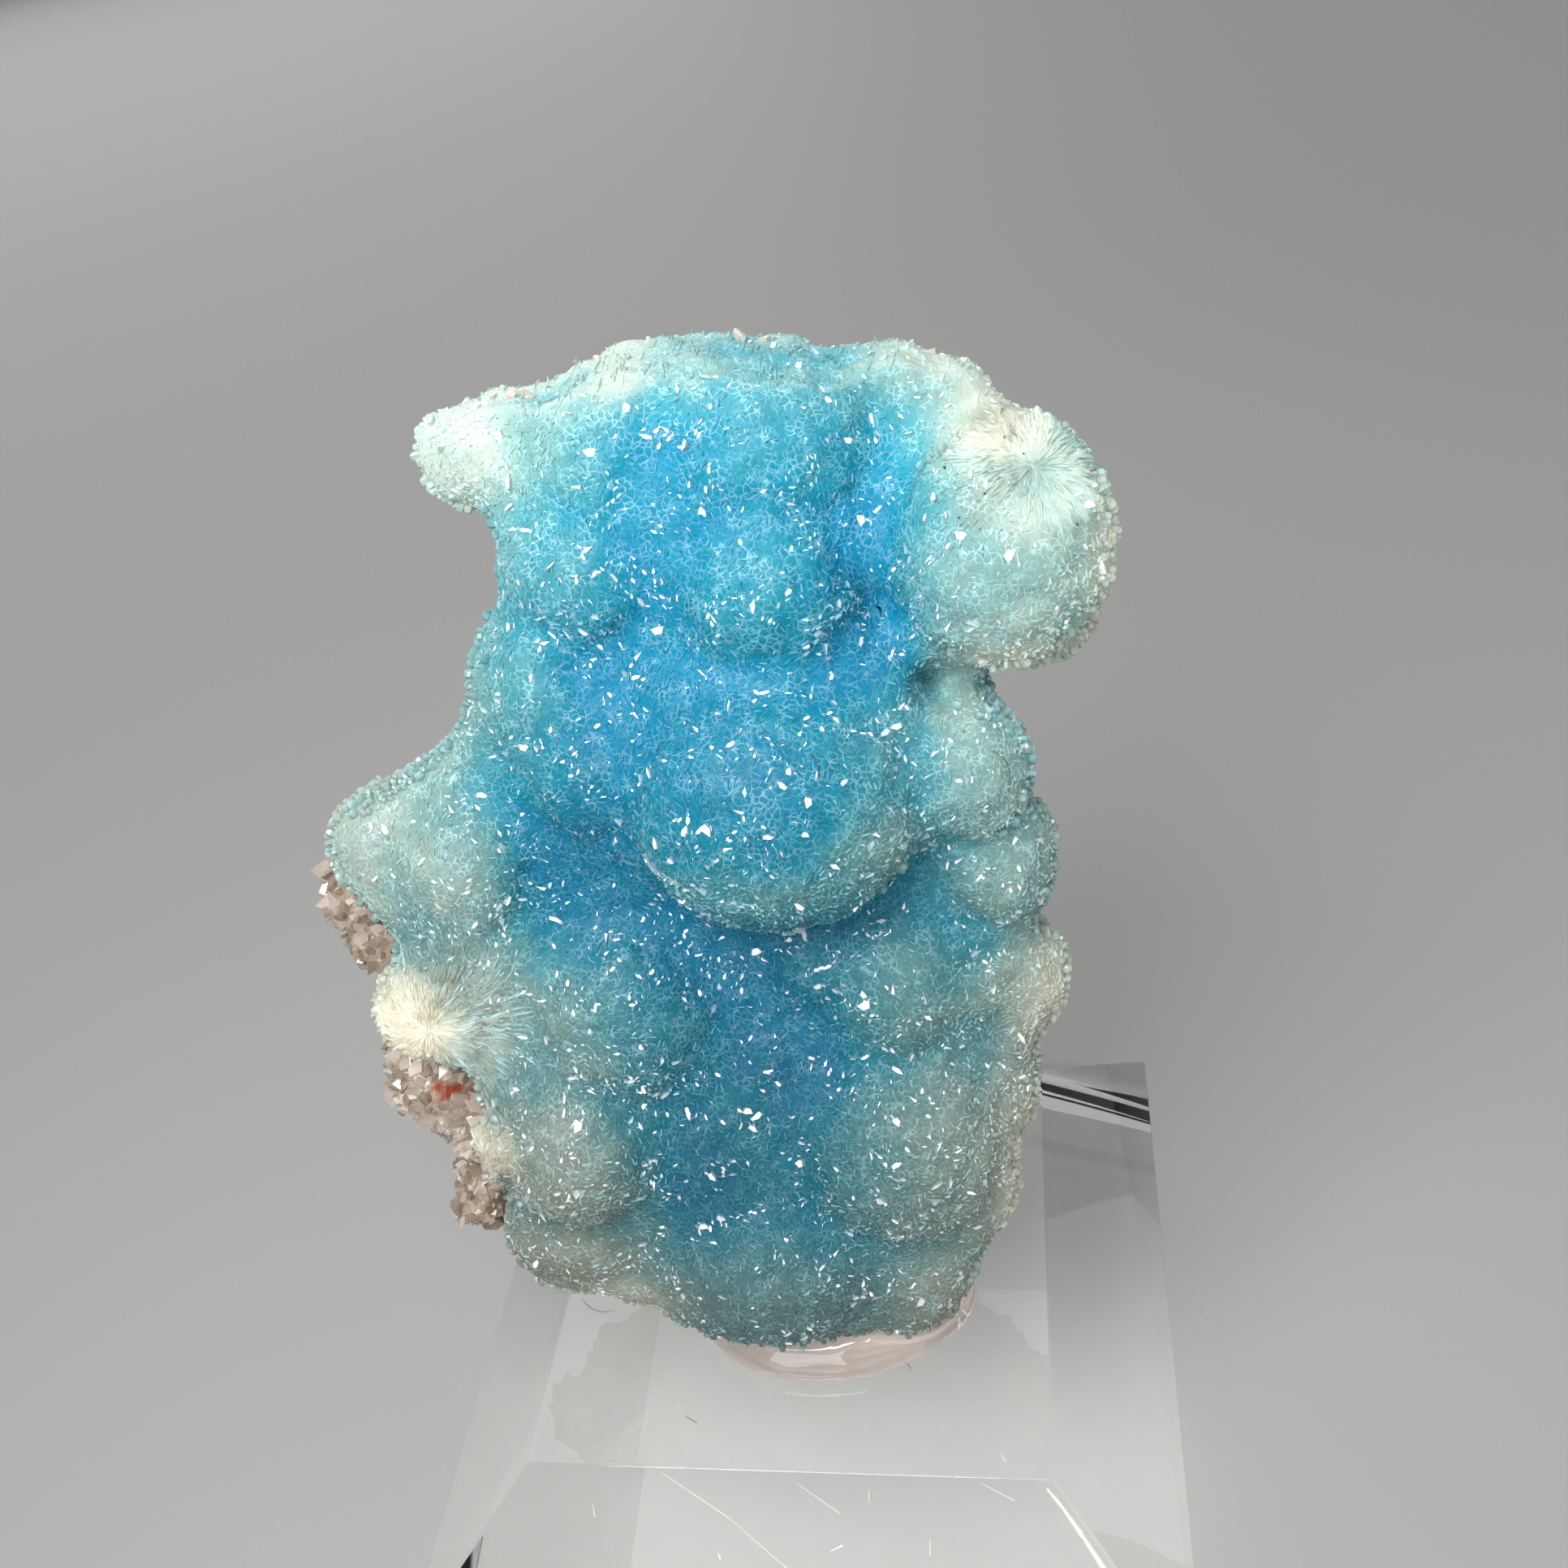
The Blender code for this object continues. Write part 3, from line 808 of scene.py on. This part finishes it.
def faceFinish(s):    # the broad flat faces, their tops painted near white as glints
    material, g, shader = newMaterial("hemimorphite glints", IOR=s["IOR"], Coat_Weight=0.6,
                                      Coat_Roughness=0.03)
    edge = g.attribute("edge")
    # Painted glint: each flake and streak top is near white, whatever the light
    glintWhite = edge * (0.50 + g.attribute("luck") * 0.48)
    colour = g.mix(glintWhite, crustColour(g, s, g.attribute("blue")), s["glintWhite"])
    feed(g, shader, Base_Color=colour, Roughness=0.30 - edge * 0.18)
    return material


def bodyFinish(s):
    material, g, shader = newMaterial(
        "hemimorphite body", IOR=s["IOR"], Subsurface_Weight=0.35, Subsurface_Scale=1.0 * mm,
        Subsurface_Radius=(0.3, 0.9, 1.3), Specular_IOR_Level=0.15,
    )
    here = g.objectPlace()
    lines = g.cellEdges(g.bent(here, 2500.0, 0.25 * mm), s["cell"])
    # Painted highlight: pale lines along the cell edges, as crystal edges catching the light, less of it
    # towards the foot
    highlightShare = (1.0 - lines.step(0.01, 0.13)) * g.noise(here, 0.7 * mm).step(0.35, 0.65)
    tone = (g.attribute("blue") - 0.02).clamp()
    share = g.attribute("up").step(0.0, 52.0) * 0.44 + 0.22
    colour = g.mix(highlightShare * share * (1.0 - tone * 0.6), crustColour(g, s, tone), s["edge"])
    bump = g.bump(lines, 0.6, 0.08 * mm)
    feed(g, shader, Base_Color=colour, Roughness=0.5 - highlightShare * 0.16, Normal=bump)
    return material


rockColours = {
    "stops": [(0.32, (0.08, 0.055, 0.035)), (0.43, (0.21, 0.155, 0.105)), (0.54, (0.36, 0.29, 0.225)),
              (0.68, (0.62, 0.55, 0.48))],
    "rust": (0.20, 0.028, 0.006),
    "dark": (0.09, 0.055, 0.04),
    "crack": 2.1 * mm,    # how far apart its cracks are
    "crumb": (0.26, 0.19, 0.12),
    "clear": (0.68, 0.60, 0.53),
    "rockIOR": 1.52,
    "crystalIOR": 1.54,
}


def rockTone(g, s, here):    # its fine grains, and its colour with dark cracks
    patches = g.noise(here, 2.0 * mm, 4.0, 0.6)
    grains = g.noise(here, 0.45 * mm, 3.0, 0.6)
    plain = g.node("ShaderNodeValToRGB", {"stops": s["stops"]}, {"Fac": patches * 0.7 + grains * 0.3})
    cracks = g.cellEdges(g.bent(here, 900.0, 1.6 * mm), s["crack"])
    colour = g.mix((1.0 - cracks.step(0.0, 0.06)) * 0.6 * patches.step(0.35, 0.6), plain, s["dark"])
    return grains, colour


def rockFinish(s):
    material, g, shader = newMaterial("host rock", IOR=s["rockIOR"], Coat_Weight=0.5,
                                      Coat_Roughness=0.08)
    grains, colour = rockTone(g, s, g.objectPlace())
    rusty = g.mix(g.attribute("rust"), colour, s["rust"])
    brown = g.mix(g.attribute("crumbly") * 0.7, rusty, s["crumb"])
    rough = (0.65 - grains * 0.7).clamp(0.1, 0.8)
    feed(g, shader, Base_Color=brown, Roughness=rough, Normal=g.bump(grains, 0.5, 0.2 * mm))
    return material


def shardFinish(s):
    material, g, shader = newMaterial("glassy crystals", IOR=s["crystalIOR"], Transmission_Weight=0.25,
                                      Coat_Weight=0.6, Coat_Roughness=0.04)
    grains, colour = rockTone(g, s, g.objectPlace())
    brown = g.mix(g.attribute("crumbly") * 0.75, colour, s["crumb"])
    rusty = g.mix(g.attribute("rust"), brown, s["rust"])
    clear = g.mix(g.attribute("luck").power(1.5) * 0.8, g.dimmed(rusty, 0.72), s["clear"])
    feed(g, shader, Base_Color=clear, Roughness=0.08 + grains * 0.2)
    return material


acrylicSet = {"tint": (0.86, 0.865, 0.86), "IOR": 1.49, "hazeSize": 6.0 * mm}
gelSet = {"tint": (0.91, 0.81, 0.74), "IOR": 1.47, "clear": 0.75}

# Plain things of two mixed colours: how wide their blotches are, and how rough they are
floorSet = {"colours": ((0.32, 0.32, 0.31), (0.355, 0.352, 0.342)), "blotch": 0.4, "rough": 0.6}
dirtSet = {"colours": ((0.012, 0.010, 0.010), (0.06, 0.04, 0.03)), "blotch": 0.2 * mm,
           "roughBlotch": 0.3 * mm, "rough": (0.4, 0.4)}
scuffSet = {"colours": ((0.62, 0.60, 0.56), (0.90, 0.88, 0.82)), "blotch": 0.4 * mm,
            "roughBlotch": 0.2 * mm, "rough": (0.4, 0.3)}


def acrylicFinish(s):
    material, g, shader = newMaterial("acrylic", Base_Color=rgba(s["tint"]), IOR=s["IOR"],
                                      Transmission_Weight=1.0)
    haze = g.noise(g.objectPlace(), s["hazeSize"], 3.0)
    feed(g, shader, Roughness=haze.step(0.5, 0.9) * 0.03 + 0.005)
    return material


def gelFinish(s):
    material, g, shader = newMaterial("gel", Base_Color=rgba(s["tint"]), IOR=s["IOR"],
                                      Transmission_Weight=s["clear"], Coat_Weight=1.0,
                                      Coat_Roughness=0.02)
    feed(g, shader, Roughness=g.noise(g.objectPlace(), 2.0 * mm) * 0.04)
    return material


def floorFinish(s):
    material, g, shader = newMaterial("floor", Roughness=s["rough"])
    feed(g, shader, Base_Color=g.mix(g.noise(g.objectPlace(), s["blotch"]), *s["colours"]))
    return material


def blotchyFinish(s, name, **plain):    # for dirt and scuffs
    material, g, shader = newMaterial(name, **plain)
    least, more = s["rough"]
    shade = g.mix(g.noise(g.objectPlace(), s["blotch"]), *s["colours"])
    rough = g.noise(g.objectPlace(), s["roughBlotch"]) * more + least
    feed(g, shader, Base_Color=shade, Roughness=rough)
    return material


crystalStuff = crystalFinish(colourSet, "hemimorphite crystals", clear=0.0, shine=0.15, rough=0.32)
beadStuff = crystalFinish(colourSet, "hemimorphite beads", clear=0.2, shine=0.5, rough=0.08)
glintStuff = faceFinish(colourSet)
bodyStuff = bodyFinish(colourSet)
rockStuff = rockFinish(rockColours)
shardStuff = shardFinish(rockColours)
acrylicStuff = acrylicFinish(acrylicSet)
gelStuff = gelFinish(gelSet)
dirtStuff = blotchyFinish(dirtSet, "dirt", IOR=1.5)
scuffStuff = blotchyFinish(scuffSet, "scuffs", IOR=acrylicSet["IOR"], Transmission_Weight=0.2)


def dress(piece, material, slot, *nodes):
    mesh = piece.data
    if not mesh.materials:
        mesh.materials.append(material)
    mesh.materials[0] = material
    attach(piece, "root")
    if nodes:
        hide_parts(*nodes)
    return piece


# What grows where: spacing in mm, sizes, lean and spin in radians, how many a square metre may
# have, and the heights in mm at which the crystals are cut in separate pieces

grown = {
    "blades": {"spacing": 0.23, "sizes": (0.6, 1.3), "lean": 0.22, "follow": 0.75, "spin": 1.15,
               "where": "netted", "finish": crystalStuff, "bands": (-2.0, 12.0, 23.0, 33.0, 52.0)},
    "beads": {"spacing": 0.34, "sizes": (0.6, 1.35), "lean": 0.35, "follow": 0.0, "spin": 3.14,
              "where": "beaded", "finish": beadStuff},
    "flakes": {"spacing": 0.40, "sizes": (0.35, 1.15), "lean": 0.35, "follow": 0.0, "spin": 3.14,
               "where": "glinting", "finish": glintStuff, "most": 1.3e6},
    "sparks": {"spacing": 0.20, "sizes": (0.30, 1.05), "lean": 0.30, "follow": 0.8, "spin": 0.9,
               "where": "glinting", "finish": glintStuff, "most": 6.0e6, "shelf": "streaks"},
    "fibres": {"spacing": 0.14, "sizes": (0.5, 1.15), "lean": 0.07, "follow": 1.0, "spin": 0.16,
               "where": "fibrous", "finish": crystalStuff},
}
grownOnRock = {
    "shards": {"spacing": 0.55, "sizes": (0.30, 1.00), "lean": 0.45, "follow": 0.0, "spin": 3.14,
               "where": "glassy", "finish": shardStuff},
    "crumbs": {"spacing": 0.28, "sizes": (0.18, 0.55), "lean": 0.6, "follow": 0.0, "spin": 3.14,
               "where": "crumbly", "finish": shardStuff, "shelf": "shards"},
}
druse = scatterTree("druse")


def grow(source, plan, slot, seed, allHeights, unlimited=1.0e8):
    for number, (kind, s) in enumerate(plan.items()):
        bands = s.get("bands", allHeights)
        for band, (low, high) in enumerate(zip(bands, bands[1:])):
            crystals = scatter(source, druse, kind + "_" + str(band + 1), {
                "Shelf": shelves[s.get("shelf", kind)], "Where": s["where"],
                "Spacing": s["spacing"] * mm, "Most per m2": s.get("most", unlimited),
                "Lean": s["lean"], "Follow grain": s["follow"], "Spin": s["spin"],
                "Smallest": s["sizes"][0], "Largest": s["sizes"][1],
                "From up": low, "To up": high, "Seed": seed + number, "Finish": s["finish"],
            })
            crystals.visible_shadow = False    # clear crystals let the light through to the crust
            dress(crystals, s["finish"], slot)


grow(crust, grown, "hemimorphite", seed=20, allHeights=(-2.0, 52.0))
crust.data.shade_smooth()
dress(crust, bodyStuff, "hemimorphite", "hemimorphite_crust")


# The host rock

rockSet = {
    "voxel": 0.30 * mm,
    "smoothing": 3,
    "rough": 0.40 * mm,
    "chip": 2.6 * mm,             # how wide its broken faces are
    "rustAt": (-18.4, 15.0),      # across and up in mm
    "rustReach": 1.0,             # mm
    "rustSquash": 1.6,            # how much wider than tall the rust is
    "crumbly": [(-17.2, 8.8, 2.6, 3.0, 1.0), (-21.6, 20.6, 2.2, 3.0, 0.7)],
    "frontFrom": -4.5,            # mm out of the face, behind which the rock is plainly broken
    "glassyLeftOf": -11.0,        # mm across; its glassy crystals are there and above the next
    "glassyAbove": 44.0,
}


def ridges(co, size):
    return np.array([noise.ridged_multi_fractal(Vector(p) / size, 0.9, 2.1, 3, 0.9, 1.2) for p in co])


def makeRock(s):
    rock = reskin(closedCopy("matrix_rock", "host_rock"), s["voxel"], s["smoothing"])
    mesh = rock.data
    co = points(mesh)
    rise = s["rough"] * (ridges(co, s["chip"]) - 1.0)
    setPoints(mesh, co + normals(mesh) * rise[:, None])
    across, up, out = onSpecimen(co).T
    rustAcross, rustUp = s["rustAt"]
    away = np.hypot(across - rustAcross, (up - rustUp) * s["rustSquash"]) / s["rustReach"]
    rust = (1 - smoothstep(0.6, 1.0, away + 0.4 * fractal(co, 0.6 * mm))) * (out > -1.5)
    front = smoothstep(s["frontFrom"] - 1.0, s["frontFrom"] + 1.0, out)
    crumbly = np.clip(patchwork(across, up, s["crumbly"]), 0.0, 1.0) * front
    edge = (across < s["glassyLeftOf"]) | (up > s["glassyAbove"])
    setField(mesh, "rust", rust)
    setField(mesh, "crumbly", crumbly)
    setField(mesh, "glassy", front * (1 - 0.6 * crumbly) * edge * (1 - rust))
    return rock


rock = makeRock(rockSet)
print("host rock:", len(rock.data.polygons), "faces")
grow(rock, grownOnRock, "matrix", seed=40, allHeights=(-60.0, 60.0))
dress(rock, rockStuff, "matrix", "matrix_rock")


# The gel and the base

gelShape = {"voxel": 0.2 * mm, "smoothing": 8}
baseShape = {"rounding": 0.12 * mm, "segments": 3, "roundedFrom": 20.0, "sharpFrom": 30.0}    # degrees


def makeGel(s):
    gel = reskin(closedCopy("mounting_gel", "gel_blob"), s["voxel"], s["smoothing"])
    gel.data.shade_smooth()
    return gel


def makeBase(s):
    base = closedCopy("acrylic_base", "base_block")
    rounding = base.modifiers.new("rounding", "BEVEL")
    rounding.width = s["rounding"]
    rounding.segments = s["segments"]
    rounding.limit_method = "ANGLE"
    rounding.angle_limit = math.radians(s["roundedFrom"])
    flatten(base)
    base.data.set_sharp_from_angle(angle=math.radians(s["sharpFrom"]))
    return base


# Small things of their own: chips along the broken top, dirt and dust, and scuffs on the acrylic

chipSpots = [    # which flake, across, up, out in mm, size, spin in radians
    (0, -15.3, 46.4, -1.2, 0.9, 0.4), (1, -14.7, 46.6, -1.0, 1.1, 2.0), (2, -13.9, 46.9, -0.8, 1.2, 1.1),
    (3, -13.2, 47.0, -0.9, 1.3, 0.2), (0, -12.5, 47.3, -1.2, 1.0, 2.6), (5, -11.2, 47.9, -2.0, 1.7, 0.9),
    (1, -10.4, 48.1, -1.6, 1.1, 1.5), (6, -4.4, 49.0, -2.6, 2.1, 0.1), (7, -3.4, 49.0, -2.6, 1.2, 1.7),
    (1, 3.4, 48.0, -1.6, 1.3, 0.6), (4, 4.6, 47.6, -1.2, 1.4, 2.1),
]
dirtSpots = [    # across, up, out in mm, size
    (-14.2, 46.0, 1.4, 0.26), (-13.5, 45.2, 1.6, 0.20), (-12.4, 46.1, 1.2, 0.16), (4.8, 33.6, 4.0, 0.22),
    (-8.2, 37.1, 2.8, 0.14), (-0.6, 31.0, 7.6, 0.14), (-12.3, 15.5, 4.1, 0.16), (-0.3, 11.6, 4.2, 0.30),
    (3.6, 44.4, 5.2, 0.34), (4.0, 42.7, 6.4, 0.24), (5.0, 43.6, 6.5, 0.30), (5.9, 45.6, 4.6, 0.34),
    (7.3, 43.2, 6.0, 0.26), (6.6, 44.9, 4.6, 0.30), (8.2, 42.4, 6.2, 0.22), (-18.9, 20.6, 1.2, 0.16),
    (-20.4, 19.2, 0.8, 0.20), (8.6, 17.9, 0.8, 0.22), (9.3, 15.6, -0.4, 0.26),
]
dustOnCrust = [    # each thread's start, middle and end: across, up, out in mm
    [(5.8, 33.0, 4.75), (6.9, 32.6, 4.7), (6.6, 31.2, 4.75)],
    [(-1.6, 33.8, 7.2), (-1.3, 33.3, 7.7), (-1.2, 32.7, 7.75)],
]
dustOnBase = [    # the same, as x, y, z in mm
    [(-5.2, -10.0, 19.1), (-4.9, -10.3, 19.15), (-4.5, -10.4, 19.1)],
    [(-12.0, -3.4, 19.1), (-11.1, -4.6, 19.2), (-10.0, -4.1, 19.1)],
    [(5.3, -6.8, 19.1), (5.7, -6.9, 19.3), (5.9, -7.3, 19.1)],
]
dustThick = 0.022 * mm
scuffWays = [    # from x, y to x, y in mm on the top or the front bevel, and width in mm
    (4.1, -13.2, 4.1, -13.6, 0.05), (6.9, -14.7, 6.9, -15.2, 0.05), (2.2, -15.2, 2.8, -15.0, 0.06),
    (-3.2, -15.4, -3.1, -15.6, 0.09), (10.3, -11.5, 10.5, -11.9, 0.05),
    (-5.9, -12.9, -2.6, -14.3, 0.035), (-2.6, -14.3, 0.3, -15.9, 0.035),
    (0.7, -13.1, 2.7, -14.0, 0.03), (9.4, -12.9, 10.9, -13.4, 0.03), (12.4, -13.0, 13.0, -13.5, 0.16),
    (13.0, -13.5, 13.9, -14.4, 0.22), (13.9, -14.4, 15.1, -15.7, 0.28),
    (-9.4, -14.0, -9.3, -14.4, 0.05), (7.6, -16.4, 7.6, -16.8, 0.06), (-6.4, -16.1, -6.3, -16.4, 0.05),
]
blockTop = {"height": 19.05, "frontEdge": -12.7, "lift": 0.012}    # mm; scuffs lie that far above it


def makeScuffs(ways, s):    # thin slivers that lie just on the acrylic
    corners, faces = [], []
    for x1, y1, x2, y2, width in ways:
        side = Vector((y1 - y2, x2 - x1)).normalized() * width * 0.5
        first = len(corners)
        for x, y, share in ((x1, y1, 0.5), (x2, y2, 0.9), (x2, y2, -0.9), (x1, y1, -0.5)):
            px, py = x + side.x * share, y + side.y * share
            z = s["height"] + min(0.0, py - s["frontEdge"]) + s["lift"]
            corners.append((px * mm, py * mm, z * mm))
        faces.append(tuple(range(first, first + 4)))
    mesh = bpy.data.meshes.new("scuffs")
    mesh.from_pydata(corners, [], faces)
    return linkMesh("scuffs", mesh)


def makeSmallThings():
    tree = treeOf(crust)
    flakes = [flakeMesh(flakeSet, *shape) for shape in flakeSet["shapes"]]
    dot = beadMesh(beadSet, beadSet["slims"][1])
    dustWays = [[place(*spot) for spot in way] for way in dustOnCrust]
    dustWays += [[Vector(spot) * mm for spot in way] for way in dustOnBase]
    chips = joinAt("top_chips", [(flakes[spot[0]], *spot[1:]) for spot in chipSpots], tree)
    dirt = joinAt("dirt_specks", [(dot, *spot, 0.7 * spot[0]) for spot in dirtSpots], tree)
    dress(chips, shardStuff, "matrix")
    dress(dirt, dirtStuff, "matrix")
    dress(strandMesh("dust_threads", dustWays, dustThick), dirtStuff, "matrix")
    dress(makeScuffs(scuffWays, blockTop), scuffStuff, "acrylic")
    for mesh in flakes + [dot]:
        bpy.data.meshes.remove(mesh)


makeSmallThings()
gel = dress(makeGel(gelShape), gelStuff, "gel", "mounting_gel")
base = dress(makeBase(baseShape), acrylicStuff, "acrylic", "acrylic_base")
gel.visible_shadow = base.visible_shadow = False    # both are clear
print("gel and base made")


# Stage and light

middle = (0.0, 0.0, 0.045)

# Square lamps: place, what they face and width in metres, watts, and if clear things show them
lamps = {
    "key": {"at": (-0.014, -0.046, 0.118), "facing": (0.0, 0.0, 0.052), "size": 0.05,
            "power": 0.113, "inClear": False},
    "fill": {"at": (-0.03, -0.15, 0.03), "facing": middle, "size": 0.10, "power": 0.065,
             "inClear": False},
    "side": {"at": (0.20, -0.06, 0.16), "facing": middle, "size": 0.28, "power": 0.21,
             "inClear": True},
    "back": {"at": (-0.36, 0.48, 0.45), "facing": middle, "size": 0.90, "power": 2.79,
             "inClear": True},
}
skySet = {"colour": (0.97, 0.98, 1.0), "strength": 0.45}
floorShape = {"half": 3.0, "height": -0.05 * mm}


def makeFloor(s):
    mesh = bpy.data.meshes.new("floor")
    signs = [(-1, -1), (1, -1), (1, 1), (-1, 1)]
    corners = [(x * s["half"], y * s["half"], s["height"]) for x, y in signs]
    mesh.from_pydata(corners, [], [(0, 1, 2, 3)])
    mesh.materials.append(floorFinish(floorSet))
    linkMesh("floor", mesh)


def makeLamp(name, s):
    data = bpy.data.lights.new(name, "AREA")
    data.size = s["size"]
    data.energy = s["power"]
    lamp = bpy.data.objects.new(name, data)
    scene.collection.objects.link(lamp)
    lamp.visible_camera = False
    lamp.visible_transmission = s["inClear"]
    lamp.location = s["at"]
    aim = Vector(s["facing"]) - Vector(s["at"])
    lamp.rotation_euler = aim.to_track_quat("-Z", "Y").to_euler()


def makeWorld(s):
    world = bpy.data.worlds.new("studio")
    world.use_nodes = True
    background = world.node_tree.nodes["Background"]
    background.inputs["Color"].default_value = rgba(s["colour"])
    background.inputs["Strength"].default_value = s["strength"]
    scene.world = world


makeFloor(floorShape)
for name, lamp in lamps.items():
    makeLamp(name, lamp)
makeWorld(skySet)
print("floor and lamps made")
